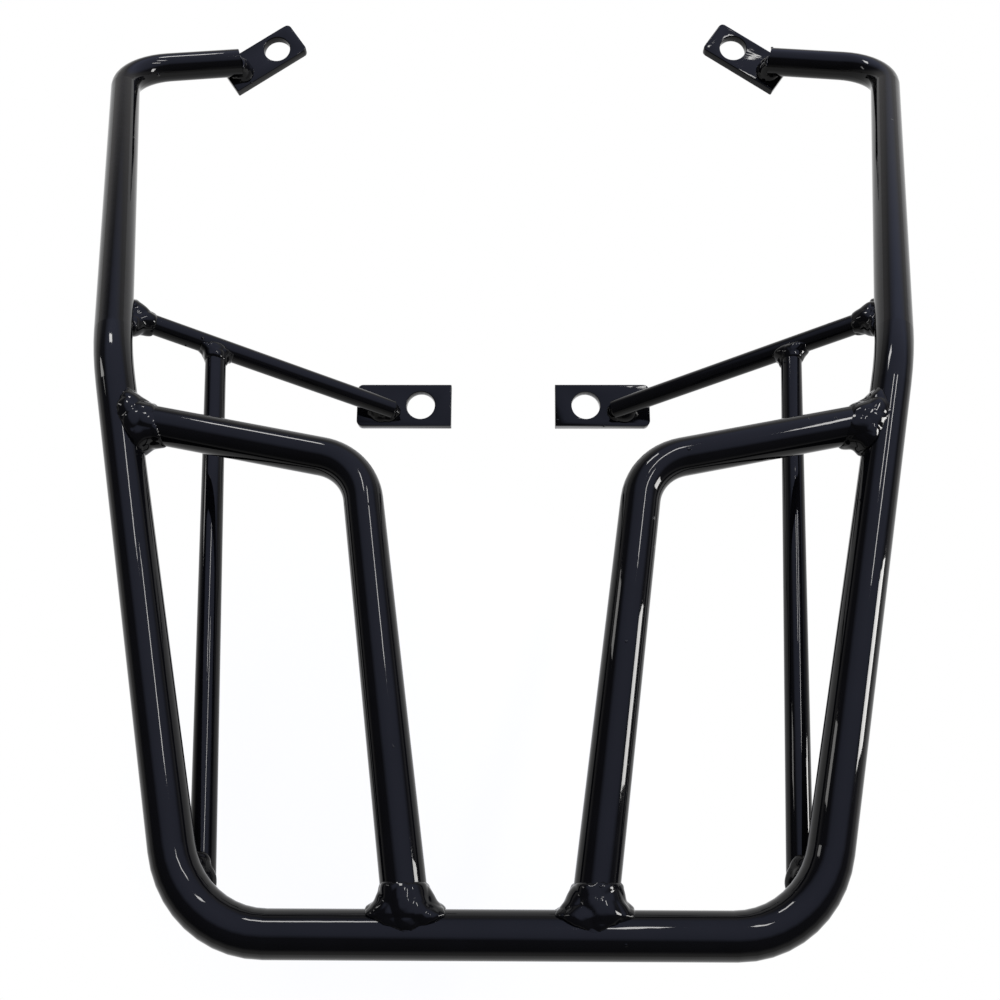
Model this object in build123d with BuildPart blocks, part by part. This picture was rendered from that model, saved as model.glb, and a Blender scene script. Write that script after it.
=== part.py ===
from build123d import *
from math import radians, tan
import os

# Motorcycle luggage rack of bent round tube, round rod and flat strap, welded together.
# Lengths are in millimetres and angles in degrees.
# It is drawn with the rear crossbar's centre line at Y = 0, the deck at Z = 0 and mid-width at X = 0.
# +Y points to the front of the motorcycle and +Z up, so the rider's left is at -X.

# Stock
TUBE_OD = 13.5
TUBE_WALL = 1.5
ROD_D = 8.0
STRAP_WIDTH = 19.0
STRAP_THICKNESS = 4.5
STRAP_CORNER = 2.5

# Outer loop, at the tube's centre line
REAR_HALF = 90.5
DECK_HALF = 141.5
DECK_LENGTH = 191.0
LEG_HALF = 195.5
LEG_RUN = 213.0
LEG_DROP = 69.0
ARM_INSET = 54.5
ARM_RUN = 16.5
ARM_DROP = 10.5
REAR_BEND = 31.0
KINK_BEND = 82.0
FRONT_BEND = 23.5

# Inner rails, at the tube's centre line
RAIL_REAR_HALF = 26.0
RAIL_BEND_HALF = 49.0
RAIL_SETBACK = 26.0
RAIL_RAKE = 17.5
RAIL_BEND = 19.5
COPE_GAP = 1.0

# Mid tabs and the cross rods that carry them
MID_TAB_HALF = 43.6
MID_TAB_AHEAD = 18.8
MID_TAB_DROP = 72.5
MID_TAB_TILT = 10.0
MID_TAB_LENGTH = 41.5
MID_HOLE_D = 12.5
MID_HOLE_INSET = 13.5
ROD_LEG_RUN = 28.0
ROD_SEAT_DROP = 6.0
ROD_TIP_LAP = 16.0
ROD_TIP_BACK = 3.0
ROD_TIP_RISE = 3.0

# Struts from the cross rods to the underside of the rear bends
STRUT_HALF = 116.0
STRUT_REAR_ANGLE = 46.0
STRUT_SEAT = 0.6
STRUT_OVERRUN = 3.0

# Front tabs under the ends of the arms
FRONT_TAB_LENGTH = 44.5
FRONT_TAB_TILT = 12.0
FRONT_TAB_TURN = 35.0
FRONT_TAB_LAP = 9.5
FRONT_HOLE_D = 14.0
FRONT_HOLE_INSET = 13.5
ARM_SEAT = 1.2

# Weld beads: how far they reach, how far they stand proud, how thin their edges run out and how deep
# they start inside the branch. The last three are shares: of the main bar's radius, how far behind its
# axis a bead starts and how far ahead its toe lies, and of the reach, where its hollow flare is half done
TUBE_BEAD = 7.5
LEG_BEAD = 6.5
ROD_BEAD = 4.5
BEAD_PROUD = 1.4
BEAD_EDGE = 0.3
BEAD_SINK = 0.8
BEAD_WRAP = 0.4
BEAD_TOE = 0.75
BEAD_WAIST = 0.3

SIDES = {"left": -1, "right": 1}
TUBE_R = TUBE_OD / 2
ROD_R = ROD_D / 2


def at(side, point):
    """A point given for the right side, placed on the side asked for."""
    return Vector(side * point.X, point.Y, point.Z)


def between(start, end, share):
    """The point that lies the given share of the way from start to end."""
    return start + (end - start) * share


def towards(start, end, distance):
    """The point that lies the given distance from start, on the way to end."""
    return start + (end - start).normalized() * distance


def tab_normal(tilt):
    """Upward normal of a tab that slopes down to the rear by the tilt."""
    return Vector(0, 0, 1).rotate(Axis.X, tilt)


# Corners of the centre lines on the right side
rear_corner = Vector(REAR_HALF, 0, 0)
kink = Vector(DECK_HALF, DECK_LENGTH, 0)
front_corner = kink + Vector(LEG_HALF - DECK_HALF, LEG_RUN, -LEG_DROP)
arm_tip = front_corner + Vector(-ARM_INSET, ARM_RUN, -ARM_DROP)
rail_rear = Vector(RAIL_REAR_HALF, 0, 0)
rail_front = between(kink, rear_corner, RAIL_SETBACK / DECK_LENGTH)
rail_corner = Vector(RAIL_BEND_HALF, rail_front.Y - RAIL_RAKE, 0)

# Middle of the mid tab's top face, the point of that face under the cross rod's end, and the rod's two ends
mid_tab_top = Vector(MID_TAB_HALF, DECK_LENGTH + MID_TAB_AHEAD, -MID_TAB_DROP)
down_tab = Vector(0, -1, 0).rotate(Axis.X, MID_TAB_TILT)
rod_foot = mid_tab_top + Vector(MID_TAB_LENGTH / 2 - ROD_TIP_LAP, 0, 0) + down_tab * ROD_TIP_BACK
rod_tip = rod_foot + tab_normal(MID_TAB_TILT) * ROD_TIP_RISE
rod_seat = between(kink, front_corner, ROD_LEG_RUN / LEG_RUN) - Vector(0, 0, ROD_SEAT_DROP)

# Ends of the strut: on the cross rod's centre line, and under the rear bend
strut_front = between(rod_tip, rod_seat, (STRUT_HALF - rod_tip.X) / (rod_seat.X - rod_tip.X))
rear_turn = Vector(1, 0, 0).get_angle(kink - rear_corner)
bend_centre = Vector(REAR_HALF - REAR_BEND * tan(radians(rear_turn / 2)), REAR_BEND, 0)
bend_point = bend_centre + Vector(0, -REAR_BEND, 0).rotate(Axis.Z, STRUT_REAR_ANGLE)
strut_rear = bend_point - Vector(0, 0, TUBE_R + ROD_R - STRUT_SEAT)
strut_end = towards(strut_rear, strut_front, -STRUT_OVERRUN)

# Point of the front tab's top face under the arm's end, which is notched to sit on it
arm_foot = arm_tip - tab_normal(FRONT_TAB_TILT) * (TUBE_R - ARM_SEAT)


def tab_plane(side, tilt, turn, point):
    """Plane of a tab's top face: X runs along the strap, towards mid-width and turned forwards."""
    normal = tab_normal(tilt)
    along = Vector(-side, 0, 0).rotate(Axis((0, 0, 0), normal), -side * turn)
    return Plane(origin=at(side, point), x_dir=along, z_dir=normal)


def slide(plane, distance):
    """The same plane with its origin moved along its own X axis."""
    return Plane(origin=plane.origin + plane.x_dir * distance, x_dir=plane.x_dir, z_dir=plane.z_dir)


def strap_tab(plane, length, hole_d, hole_inset, rounded_end):
    """Flat strap with a bolt hole near its inner end and two rounded corners at one end."""
    with BuildPart() as tab:
        with BuildSketch(plane):
            Rectangle(length, STRAP_WIDTH)
            fillet(vertices().group_by(Axis.X)[rounded_end], STRAP_CORNER)
            with Locations((length / 2 - hole_inset, 0)):
                Circle(hole_d / 2, mode=Mode.SUBTRACT)
        extrude(amount=-STRAP_THICKNESS)
    return tab.part


def round_bar(points, radii, diameter):
    """Round bar along straight runs joined by bends."""
    with BuildPart() as bar:
        with BuildLine() as centre_line:
            if radii:
                FilletPolyline(*points, radius=radii)
            else:
                Line(*points)
        with BuildSketch(Plane(origin=centre_line.line @ 0, z_dir=centre_line.line % 0)):
            Circle(diameter / 2)
        sweep()
    return bar.part


def cut(solid, *cutters):
    """The solid with every cutter taken away."""
    with BuildPart() as rest:
        add(solid)
        for cutter in cutters:
            add(cutter, mode=Mode.SUBTRACT)
    return rest.part


def stacked_bead(sections, cutters):
    """Weld bead through ellipses, each given as a plane and two half axes, less the parts that it joins."""
    with BuildPart() as bead:
        for plane, half_along, half_across in sections:
            with BuildSketch(plane):
                Ellipse(half_along, half_across)
        loft(ruled=True)
        for cutter in cutters:
            add(cutter, mode=Mode.SUBTRACT)
    return bead.part


def joint_bead(point, main_axis, branch_axis, main_r, branch_r, reach, cutters):
    """Flared bead round a branch that runs into a main bar at the point."""
    outward = (branch_axis - main_axis * branch_axis.dot(main_axis)).normalized()
    lean = 1 / branch_axis.dot(outward)
    waist = BEAD_WAIST * reach
    rings = [
        (-BEAD_WRAP * main_r, waist, -BEAD_SINK),
        (BEAD_TOE * main_r, reach, BEAD_PROUD),
        (main_r + waist, waist, BEAD_PROUD),
        (main_r + reach, BEAD_EDGE, BEAD_EDGE),
    ]
    sections = [
        (
            Plane(origin=point + branch_axis * (height * lean), x_dir=main_axis, z_dir=outward),
            branch_r * lean + along,
            branch_r + across,
        )
        for height, along, across in rings
    ]
    return stacked_bead(sections, cutters)


def loop_points():
    """Corners of the outer loop's centre line, from the left arm's end to the right one's."""
    half = [rear_corner, kink, front_corner, arm_tip]
    return [at(-1, point) for point in reversed(half)] + half


loop_radii = [FRONT_BEND, KINK_BEND, REAR_BEND, REAR_BEND, KINK_BEND, FRONT_BEND]
loop_core = round_bar(loop_points(), loop_radii, TUBE_OD)
loop_bore = round_bar(loop_points(), loop_radii, TUBE_OD - 2 * TUBE_WALL)

pieces = {}
for name, side in SIDES.items():
    foot = tab_plane(side, FRONT_TAB_TILT, FRONT_TAB_TURN, arm_foot)
    front_top = slide(foot, FRONT_TAB_LENGTH / 2 - FRONT_TAB_LAP)
    mid_top = tab_plane(side, MID_TAB_TILT, 0, mid_tab_top)
    front_tab = strap_tab(front_top, FRONT_TAB_LENGTH, FRONT_HOLE_D, FRONT_HOLE_INSET, -1)
    mid_tab = strap_tab(mid_top, MID_TAB_LENGTH, MID_HOLE_D, MID_HOLE_INSET, 0)

    rail_start = towards(rail_rear, rail_corner, COPE_GAP)
    rail_stop = towards(rail_front, rail_corner, COPE_GAP)
    rail_points = [at(side, point) for point in (rail_start, rail_corner, rail_stop)]
    rail_core = round_bar(rail_points, [RAIL_BEND], TUBE_OD)
    rail_bore = round_bar(rail_points, [RAIL_BEND], TUBE_OD - 2 * TUBE_WALL)
    rod_core = round_bar([at(side, rod_tip), at(side, rod_seat)], [], ROD_D)
    strut_start = towards(strut_front, strut_rear, COPE_GAP)
    strut_core = round_bar([at(side, strut_start), at(side, strut_end)], [], ROD_D)

    pieces[f"front_tab_{name}"] = front_tab
    pieces[f"mid_tab_{name}"] = mid_tab
    pieces[f"inner_rail_{name}"] = cut(rail_core, rail_bore, loop_core)
    pieces[f"cross_rod_{name}"] = cut(rod_core, loop_core, mid_tab)
    pieces[f"strut_{name}"] = cut(strut_core, rod_core, loop_core)

    across = Vector(1, 0, 0)
    side_run = (at(side, kink) - at(side, rear_corner)).normalized()
    leg_run = (at(side, front_corner) - at(side, kink)).normalized()
    rod_run = (at(side, rod_tip) - at(side, rod_seat)).normalized()
    strut_run = (at(side, strut_rear) - at(side, strut_front)).normalized()
    rail_back = (at(side, rail_corner) - at(side, rail_rear)).normalized()
    rail_out = (at(side, rail_corner) - at(side, rail_front)).normalized()

    pieces[f"weld_rail_rear_{name}"] = joint_bead(
        at(side, rail_rear), across, rail_back, TUBE_R, TUBE_R, TUBE_BEAD, [loop_core, rail_core]
    )
    pieces[f"weld_rail_front_{name}"] = joint_bead(
        at(side, rail_front), side_run, rail_out, TUBE_R, TUBE_R, TUBE_BEAD, [loop_core, rail_core]
    )
    pieces[f"weld_cross_rod_{name}"] = joint_bead(
        at(side, rod_seat), leg_run, rod_run, TUBE_R, ROD_R, LEG_BEAD, [loop_core, rod_core]
    )
    pieces[f"weld_strut_front_{name}"] = joint_bead(
        at(side, strut_front), rod_run, strut_run, ROD_R, ROD_R, ROD_BEAD, [rod_core, strut_core]
    )

    under_point = towards(strut_rear, strut_front, ROD_BEAD)
    under = Plane(origin=at(side, under_point), x_dir=strut_run, z_dir=(0, 0, 1))
    pieces[f"weld_strut_rear_{name}"] = stacked_bead(
        [
            (under, ROD_R + ROD_BEAD, ROD_R + BEAD_EDGE),
            (under.offset(ROD_R), ROD_R + ROD_BEAD, ROD_R + BEAD_PROUD),
            (under.offset(ROD_R + BEAD_TOE * TUBE_R), ROD_R, ROD_R - BEAD_PROUD),
        ],
        [loop_core, strut_core],
    )
    end = slide(foot, -BEAD_PROUD)
    pieces[f"weld_front_tab_{name}"] = stacked_bead(
        [
            (end, TUBE_R, TUBE_R + BEAD_PROUD),
            (end.offset(TUBE_R / 2), TUBE_R - BEAD_PROUD, TUBE_R),
            (end.offset(TUBE_R + BEAD_PROUD), TUBE_R / 2, TUBE_R - BEAD_PROUD),
        ],
        [loop_core, front_tab],
    )
    tip = slide(tab_plane(side, MID_TAB_TILT, 0, rod_foot), -ROD_R)
    pieces[f"weld_mid_tab_{name}"] = stacked_bead(
        [
            (tip, ROD_R + ROD_BEAD - BEAD_SINK, ROD_R + BEAD_PROUD),
            (tip.offset(ROD_R / 2), ROD_R + ROD_BEAD / 2, ROD_R + BEAD_EDGE),
            (tip.offset(ROD_R + BEAD_EDGE), ROD_R, ROD_R - BEAD_PROUD),
        ],
        [rod_core, mid_tab],
    )

pieces["outer_loop"] = cut(
    loop_core, loop_bore, *(pieces[f"front_tab_{name}"] for name in SIDES)
)

# The origin is under the middle of the whole rack, level with its lowest point
boxes = [piece.bounding_box() for piece in pieces.values()]
rear = min(box.min.Y for box in boxes)
front = max(box.max.Y for box in boxes)
bottom = min(box.min.Z for box in boxes)
origin = Vector(0, (rear + front) / 2, bottom)

os.makedirs("parts", exist_ok=True)
for label, piece in pieces.items():
    placed = piece.moved(Location(-origin))
    placed.label = label
    export_step(placed, f"parts/{label}.step")
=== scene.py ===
from math import cos, pi, radians, sin
from random import Random

import bmesh
import bpy
from mathutils import Matrix, Vector, noise
from mathutils.bvhtree import BVHTree


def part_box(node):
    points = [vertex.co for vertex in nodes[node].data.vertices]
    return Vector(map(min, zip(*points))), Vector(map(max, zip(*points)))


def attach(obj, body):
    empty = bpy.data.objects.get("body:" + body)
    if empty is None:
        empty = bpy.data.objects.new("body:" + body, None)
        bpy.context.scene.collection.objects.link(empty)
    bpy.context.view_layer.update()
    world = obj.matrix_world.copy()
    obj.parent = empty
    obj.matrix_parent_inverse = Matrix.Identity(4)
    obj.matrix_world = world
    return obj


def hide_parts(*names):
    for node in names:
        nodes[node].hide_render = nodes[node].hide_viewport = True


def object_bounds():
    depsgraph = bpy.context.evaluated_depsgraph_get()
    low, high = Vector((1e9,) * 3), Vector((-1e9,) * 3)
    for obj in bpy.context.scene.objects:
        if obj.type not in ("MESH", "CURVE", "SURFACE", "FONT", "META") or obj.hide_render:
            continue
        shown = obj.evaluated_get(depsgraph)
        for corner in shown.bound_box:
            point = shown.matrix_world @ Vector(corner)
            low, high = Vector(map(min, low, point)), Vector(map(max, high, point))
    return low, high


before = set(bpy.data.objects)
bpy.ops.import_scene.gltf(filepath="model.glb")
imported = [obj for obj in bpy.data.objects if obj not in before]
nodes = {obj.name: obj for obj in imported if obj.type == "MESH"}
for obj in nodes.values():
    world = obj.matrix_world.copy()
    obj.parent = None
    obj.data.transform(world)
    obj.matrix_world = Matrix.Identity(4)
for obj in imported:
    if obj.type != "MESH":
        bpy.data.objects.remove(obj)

cad_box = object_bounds()
rack_middle = (Vector(cad_box[0]) + Vector(cad_box[1])) / 2

# Lengths are in metres and angles in degrees.

# Camera, at the photograph's viewing angle, placed from the middle of the rack's rear top edge
CAMERA_OFFSET = Vector((0.001943, 0.015935, 0.289633))
CAMERA_PITCH = 67.159
CAMERA_YAW = 1.157
CAMERA_ROLL = -0.983
CLIP_START = 0.01
FOCAL_PIXELS = 950
IMAGE_PIXELS = 1000
SENSOR_WIDTH = 36

# Floor, which camera, glossy and transmission rays see as white, less the rack's shadow
FLOOR_PLACE = Vector((0, 0.25, -0.40))
FLOOR_SIZE = 6
FLOOR_COLOUR = (0.20, 0.20, 0.20, 1)
FLOOR_GLOW = 0.78

# Where the floor takes light and shadow, from the middle of the floor. Further out it is plain white,
# which keeps the render short
SHADE_MIDDLE = Vector((-0.08, -0.35, 0))
SHADE_REACH = (0.13, 0.24)

# Dome: a broad pale patch overhead and ahead that fades to dim all round, and a pale backdrop at the horizon.
# The patch's colours go by the cosine of the angle from its middle, and the backdrop's by the sine of the
# angle above the horizon. A stop that a colour ramp lacks is added at SPARE_STOP and then moved to its place
PATCH_MIDDLE = Vector((0.22, 0.50, 0.84)).normalized()
PATCH_STRENGTH = 2
PATCH_STOPS = {
    0.0: (0.060, 0.060, 0.062),
    0.60: (0.075, 0.075, 0.085),
    0.78: (0.42, 0.46, 0.66),
    1.0: (0.52, 0.56, 0.80),
}
BACKDROP_STRENGTH = 1
BACKDROP_STOPS = {
    0.0: (0.50, 0.49, 0.47),
    0.10: (0.44, 0.43, 0.42),
    0.30: (0, 0, 0),
}
SPARE_STOP = 0.5

# Lamps that face the rack: an angle from overhead, a bearing from +X, a width and a height, and a radiance
LAMP_DISTANCE = 1.6
LAMPS = {
    "lamp_right": (70, -2, (0.34, 0.55), 36),
    "lamp_left": (66, 157, (0.16, 0.40), 9),
    "lamp_front": (55, 105, (0.30, 0.16), 30),
}
LAMP_COLOUR = (1, 0.99, 0.97)

# Strip lamps that face down: a place from the middle of the rack, a turn, a length and a width,
# and a radiance
STRIPS = {
    "strip_right": (Vector((0.71, 0.66, 1.5)), 74, (0.62, 0.09), 36),
    "strip_left": (Vector((0.26, 0.86, 1.5)), 72, (0.42, 0.08), 36),
}

# Enamel. Its clouds vary its colour and its gloss, and its dust nibs are the peaks of its orange peel.
# A finish has the scale and the height of its orange peel and its lowest and highest roughness
ENAMEL_IOR = 1.26
ENAMEL_DARK = (0.0012, 0.0012, 0.0014, 1)
ENAMEL_LIGHT = (0.0028, 0.0028, 0.0036, 1)
CLOUD_SCALE = 70
CLOUD_DETAIL = 2
CLOUD_RANGE = (0.3, 0.75)
PEEL_DETAIL = 0
NIB_RANGE = (0.87, 1)
NIB_HEIGHT = 0.0005
FINISHES = {
    "bar_enamel": (330, 0.000012, (0.02, 0.06)),
    "strap_enamel": (300, 0.000024, (0.04, 0.10)),
    "weld_enamel": (420, 0.000020, (0.02, 0.06)),
}

# Weld beads
BEAD_VOXEL = 0.0005
BEAD_SMOOTHINGS = 8
BEAD_FEATHER = 0.0006
BEAD_ROOT = 0.0006
BEAD_SWELL = 0.0004
LUMP_SIZE = 0.0056
LUMP_DEPTH = 0.0012
RIPPLE_SIZE = 0.0030
RIPPLE_DEPTH = 0.0003
DROPLETS = 2
DROPLET_REACH = 0.004
DROPLET_RADII = (0.0004, 0.0009)
DROPLET_WIDTHS = (0.8, 1)
DROPLET_FLAT = 0.7
DROPLET_STEPS = 3
SEED = 7

# Straps
STRAP_BEVEL = 0.0006
STRAP_BEVEL_STEPS = 3
SHARP_ANGLE = 30
FLAT_ANGLE = 1

# Corners of a mesh that are closer than this are one corner
JOIN_DISTANCE = 1e-6

WELD_NAMES = sorted(name for name in nodes if name.startswith("weld_"))
TAB_NAMES = sorted(name for name in nodes if "_tab_" in name and not name.startswith("weld_"))
BAR_NAMES = sorted(set(nodes) - set(WELD_NAMES) - set(TAB_NAMES))


def make_camera():
    """Camera that looks along +Y and down by the pitch, turned by the yaw and rolled about its view."""
    data = bpy.data.cameras.new("camera")
    data.sensor_width = SENSOR_WIDTH
    data.lens = SENSOR_WIDTH * FOCAL_PIXELS / IMAGE_PIXELS
    data.clip_start = CLIP_START
    camera = bpy.data.objects.new("camera", data)
    low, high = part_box("outer_loop")
    place = Vector((0, low.y, high.z)) + CAMERA_OFFSET
    turn = Matrix.Rotation(radians(CAMERA_YAW), 4, "Z")
    tilt = Matrix.Rotation(radians(90 - CAMERA_PITCH), 4, "X")
    roll = Matrix.Rotation(radians(CAMERA_ROLL), 4, "Z")
    camera.matrix_world = Matrix.Translation(place) @ turn @ tilt @ roll
    bpy.context.scene.collection.objects.link(camera)
    bpy.context.scene.camera = camera


def plug(tree, socket, value):
    """Link a socket to another, or set its value."""
    if isinstance(value, bpy.types.NodeSocket):
        tree.links.new(value, socket)
    else:
        socket.default_value = value


def add_node(tree, kind, *values, operation=None, **inputs):
    """New node of a kind, with its first inputs given in order and others by name."""
    node = tree.nodes.new(kind)
    if operation:
        node.operation = operation
    for socket, value in zip(node.inputs, values):
        plug(tree, socket, value)
    for name, value in inputs.items():
        plug(tree, node.inputs[name.replace("_", " ")], value)
    return node


def add_range(tree, value, source, target):
    """Value moved from one range to another and kept inside it."""
    node = add_node(
        tree, "ShaderNodeMapRange", Value=value, From_Min=source[0], From_Max=source[1],
        To_Min=target[0], To_Max=target[1],
    )
    return node.outputs["Result"]


def new_material(name):
    """New node material, with its tree, its shader and its surface coordinates in metres."""
    material = bpy.data.materials.new(name)
    material.use_nodes = True
    tree = material.node_tree
    place = add_node(tree, "ShaderNodeTexCoord").outputs["Object"]
    return material, tree, tree.nodes["Principled BSDF"], place


def blend_colours(tree, factor, dark, light):
    """Colour between two, by a factor from 0 to 1."""
    mix = tree.nodes.new("ShaderNodeMix")
    mix.data_type = "RGBA"
    tree.links.new(factor, mix.inputs["Factor"])
    colours = [socket for socket in mix.inputs if socket.type == "RGBA"]
    colours[0].default_value = dark
    colours[1].default_value = light
    return next(socket for socket in mix.outputs if socket.type == "RGBA")


def make_enamel(name, peel_scale, peel_height, roughness):
    """Glossy blue-black enamel with orange peel, dust nibs and a faintly uneven colour and gloss."""
    material, tree, shader, place = new_material(name)
    shader.inputs["IOR"].default_value = ENAMEL_IOR
    clouds = add_node(tree, "ShaderNodeTexNoise", Vector=place, Scale=CLOUD_SCALE, Detail=CLOUD_DETAIL)
    cloud = clouds.outputs["Fac"]
    tree.links.new(blend_colours(tree, cloud, ENAMEL_DARK, ENAMEL_LIGHT), shader.inputs["Base Color"])
    tree.links.new(add_range(tree, cloud, CLOUD_RANGE, roughness), shader.inputs["Roughness"])
    peels = add_node(tree, "ShaderNodeTexNoise", Vector=place, Scale=peel_scale, Detail=PEEL_DETAIL)
    peel = peels.outputs["Fac"]
    nibs = add_range(tree, peel, NIB_RANGE, (0, NIB_HEIGHT))
    height = add_node(tree, "ShaderNodeMath", peel, peel_height, nibs, operation="MULTIPLY_ADD").outputs[0]
    bump = add_node(tree, "ShaderNodeBump", Strength=1, Distance=1, Height=height)
    tree.links.new(bump.outputs["Normal"], shader.inputs["Normal"])
    return material


def seen_rays(tree):
    """1 for camera, glossy and transmission rays, and 0 for others."""
    path = tree.nodes.new("ShaderNodeLightPath")
    seen = path.outputs["Is Camera Ray"]
    for ray in ("Is Glossy Ray", "Is Transmission Ray"):
        seen = add_node(tree, "ShaderNodeMath", seen, path.outputs[ray], operation="MAXIMUM").outputs[0]
    return seen


def make_floor():
    """Plain pale floor below the rack."""
    bpy.ops.mesh.primitive_plane_add(size=FLOOR_SIZE, location=FLOOR_PLACE)
    floor = bpy.context.object
    floor.name = "floor"
    material, tree, shader, place = new_material("floor")
    tree.nodes.remove(shader)
    seen = seen_rays(tree)
    white = add_node(tree, "ShaderNodeEmission", Strength=seen).outputs[0]
    glow = add_node(tree, "ShaderNodeMath", seen, FLOOR_GLOW, operation="MULTIPLY").outputs[0]
    light = add_node(tree, "ShaderNodeEmission", Strength=glow).outputs[0]
    matt = add_node(tree, "ShaderNodeBsdfDiffuse", Color=FLOOR_COLOUR).outputs[0]
    shaded = add_node(tree, "ShaderNodeAddShader", light, matt).outputs[0]
    apart = add_node(tree, "ShaderNodeVectorMath", place, SHADE_MIDDLE, operation="DISTANCE")
    share = add_range(tree, apart.outputs["Value"], SHADE_REACH, (0, 1))
    mix = add_node(tree, "ShaderNodeMixShader", share, shaded, white)
    tree.links.new(mix.outputs[0], tree.nodes["Material Output"].inputs["Surface"])
    floor.data.materials.append(material)


def make_glow(tree, level, stops, strength):
    """World light whose colour goes by a level from 0 to 1."""
    ramp = add_node(tree, "ShaderNodeValToRGB", Fac=level)
    elements = ramp.color_ramp.elements
    while len(elements) < len(stops):
        elements.new(SPARE_STOP)
    for element, (position, colour) in zip(elements, stops.items()):
        element.position = position
        element.color = (*colour, 1)
    glow = add_node(tree, "ShaderNodeBackground", Color=ramp.outputs["Color"], Strength=strength)
    return glow.outputs[0]


def make_dome():
    """Soft light from the world: the pale patch and the backdrop. It needs no light map, being smooth."""
    world = bpy.data.worlds.new("studio")
    bpy.context.scene.world = world
    world.use_nodes = True
    world.cycles.sampling_method = "NONE"
    tree = world.node_tree
    tree.nodes.remove(tree.nodes["Background"])
    way = add_node(tree, "ShaderNodeTexCoord").outputs["Generated"]
    nearness = add_node(tree, "ShaderNodeVectorMath", way, PATCH_MIDDLE, operation="DOT_PRODUCT")
    height = add_node(tree, "ShaderNodeSeparateXYZ", Vector=way).outputs["Z"]
    patch = make_glow(tree, nearness.outputs["Value"], PATCH_STOPS, PATCH_STRENGTH)
    backdrop = make_glow(tree, height, BACKDROP_STOPS, BACKDROP_STRENGTH)
    both = add_node(tree, "ShaderNodeAddShader", patch, backdrop)
    tree.links.new(both.outputs[0], tree.nodes["World Output"].inputs["Surface"])


def add_lamp(name, matrix, size, radiance):
    """Soft rectangular lamp that shines along its own -Z."""
    data = bpy.data.lights.new(name, "AREA")
    data.shape = "RECTANGLE"
    data.size, data.size_y = size
    data.energy = radiance * pi * size[0] * size[1]
    data.color = LAMP_COLOUR
    lamp = bpy.data.objects.new(name, data)
    lamp.matrix_world = matrix
    bpy.context.scene.collection.objects.link(lamp)


def facing_matrix(overhead, bearing):
    """Place and turn of a lamp that faces the middle of the rack."""
    across = Vector((cos(radians(bearing)), sin(radians(bearing)), 0))
    away = across * sin(radians(overhead)) + Vector((0, 0, cos(radians(overhead))))
    turn = away.to_track_quat("Z", "Y").to_matrix().to_4x4()
    return Matrix.Translation(rack_middle + away * LAMP_DISTANCE) @ turn


def strip_matrix(place, turn):
    """Place and turn of a lamp that faces straight down."""
    return Matrix.Translation(rack_middle + place) @ Matrix.Rotation(radians(turn), 4, "Z")


def add_piece(name, mesh, material, node):
    """New piece that stands for a node of the rack and rides with the rack."""
    piece = bpy.data.objects.new(name, mesh)
    bpy.context.scene.collection.objects.link(piece)
    mesh.materials.clear()
    mesh.materials.append(material)
    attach(piece, "root")
    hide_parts(node)
    return piece


def node_mesh(node):
    """Copy of a node's mesh with its split corners joined."""
    shape = bmesh.new()
    shape.from_mesh(nodes[node].data)
    bmesh.ops.remove_doubles(shape, verts=shape.verts, dist=JOIN_DISTANCE)
    return shape


def modified(shape, name, add_modifiers):
    """Mesh of a shape, which is used up, with the modifiers applied that a function adds."""
    plain = bpy.data.meshes.new(name)
    shape.to_mesh(plain)
    shape.free()
    carrier = bpy.data.objects.new("carrier", plain)
    bpy.context.scene.collection.objects.link(carrier)
    add_modifiers(carrier)
    ready = carrier.evaluated_get(bpy.context.evaluated_depsgraph_get())
    result = bpy.data.meshes.new_from_object(ready)
    bpy.data.objects.remove(carrier)
    return result


def bare_surface():
    """Search tree over the bars and straps that the welds join."""
    joined = bmesh.new()
    for name in BAR_NAMES + TAB_NAMES:
        joined.from_mesh(nodes[name].data)
    tree = BVHTree.FromBMesh(joined)
    joined.free()
    return tree


def remesh_bead(carrier):
    """Even small faces over the whole bead, slightly smoothed."""
    remesh = carrier.modifiers.new("remesh", "REMESH")
    remesh.mode = "VOXEL"
    remesh.voxel_size = BEAD_VOXEL
    smooth = carrier.modifiers.new("smooth", "SMOOTH")
    smooth.iterations = BEAD_SMOOTHINGS


def lump_depth(place):
    """How far a bead's surface dips at a place: rounded lumps with small ripples over them."""
    distances, _ = noise.voronoi(place / LUMP_SIZE)
    lumps = min(distances[0], 1)
    ripples = (1 - noise.noise(place / RIPPLE_SIZE)) / 2
    return LUMP_DEPTH * lumps * lumps + RIPPLE_DEPTH * ripples


def add_droplets(shape, node, surface, chance):
    """Small flattened drops of spatter on the bars beside a bead."""
    low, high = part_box(node)
    for _ in range(DROPLETS):
        aim = Vector([chance.uniform(a - DROPLET_REACH, b + DROPLET_REACH) for a, b in zip(low, high)])
        place, normal, _, _ = surface.find_nearest(aim)
        radius = chance.uniform(*DROPLET_RADII)
        turn = normal.to_track_quat("Z", "Y").to_matrix().to_4x4()
        flat = Matrix.Diagonal((1, chance.uniform(*DROPLET_WIDTHS), DROPLET_FLAT, 1))
        bmesh.ops.create_icosphere(
            shape, subdivisions=DROPLET_STEPS, radius=radius, matrix=Matrix.Translation(place) @ turn @ flat
        )


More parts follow.
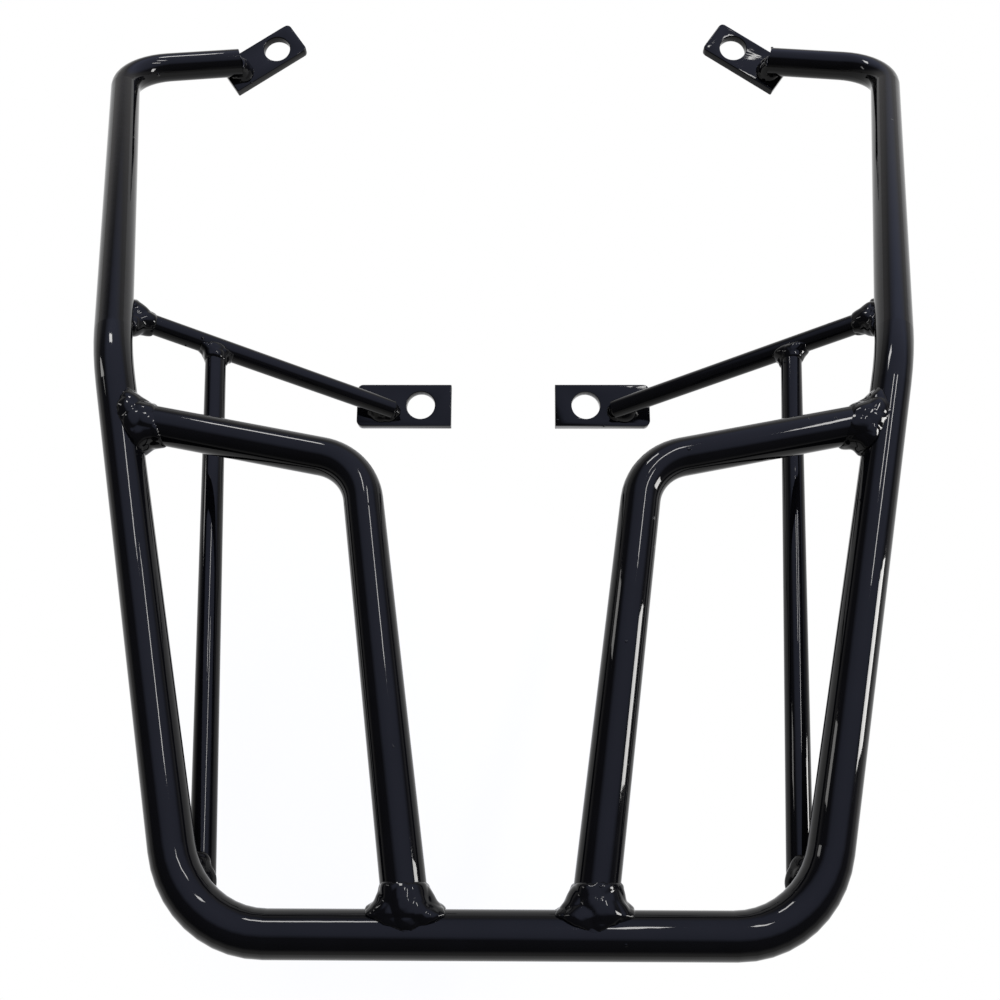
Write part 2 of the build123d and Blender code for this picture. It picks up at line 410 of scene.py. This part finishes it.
def make_bead(node, surface, material, seed):
    """Lumpy weld bead in the place of a node, rooted in the bars that it joins, with spatter beside it."""
    mesh = modified(node_mesh(node), node, remesh_bead)
    chance = Random(seed)
    drift = Vector([chance.uniform(-1, 1) for _ in range(3)])
    shape = bmesh.new()
    shape.from_mesh(mesh)
    shape.normal_update()
    moves = []
    for corner in shape.verts:
        _, away, _, gap = surface.find_nearest(corner.co)
        rooted = max(1 - gap / BEAD_FEATHER, 0)
        lumps = corner.normal * (BEAD_SWELL - lump_depth(corner.co + drift))
        moves.append(lumps.lerp(away * -BEAD_ROOT, rooted))
    for corner, move in zip(shape.verts, moves):
        place = corner.co + move
        corner.co = [min(max(at, low), high) for at, low, high in zip(place, *cad_box)]
    add_droplets(shape, node, surface, chance)
    for face in shape.faces:
        face.smooth = True
    shape.to_mesh(mesh)
    shape.free()
    piece = add_piece(node + "_bead", mesh, material, node)


def soften_edges(carrier):
    """Small round on every edge of a strap, with its flat faces kept flat."""
    bevel = carrier.modifiers.new("bevel", "BEVEL")
    bevel.width = STRAP_BEVEL
    bevel.segments = STRAP_BEVEL_STEPS
    bevel.limit_method = "ANGLE"
    bevel.angle_limit = radians(SHARP_ANGLE)
    bevel.harden_normals = True


def make_strap(node, material):
    """Strap tab with softened edges in the place of a node."""
    shape = node_mesh(node)
    bmesh.ops.dissolve_limit(shape, angle_limit=radians(FLAT_ANGLE), verts=shape.verts, edges=shape.edges)
    for face in shape.faces:
        face.smooth = True
    mesh = modified(shape, node, soften_edges)
    piece = add_piece(node + "_strap", mesh, material, node)


enamels = {name: make_enamel(name, *finish) for name, finish in FINISHES.items()}

for name in BAR_NAMES:
    nodes[name].data.materials.clear()
    nodes[name].data.materials.append(enamels["bar_enamel"])
for name in TAB_NAMES:
    make_strap(name, enamels["strap_enamel"])
surface = bare_surface()
for index, name in enumerate(WELD_NAMES):
    make_bead(name, surface, enamels["weld_enamel"], SEED + index)

make_camera()
make_floor()
make_dome()
for name, (overhead, bearing, size, radiance) in LAMPS.items():
    add_lamp(name, facing_matrix(overhead, bearing), size, radiance)
for name, (place, turn, size, radiance) in STRIPS.items():
    add_lamp(name, strip_matrix(place, turn), size, radiance)
bpy.context.scene.view_settings.view_transform = "Standard"
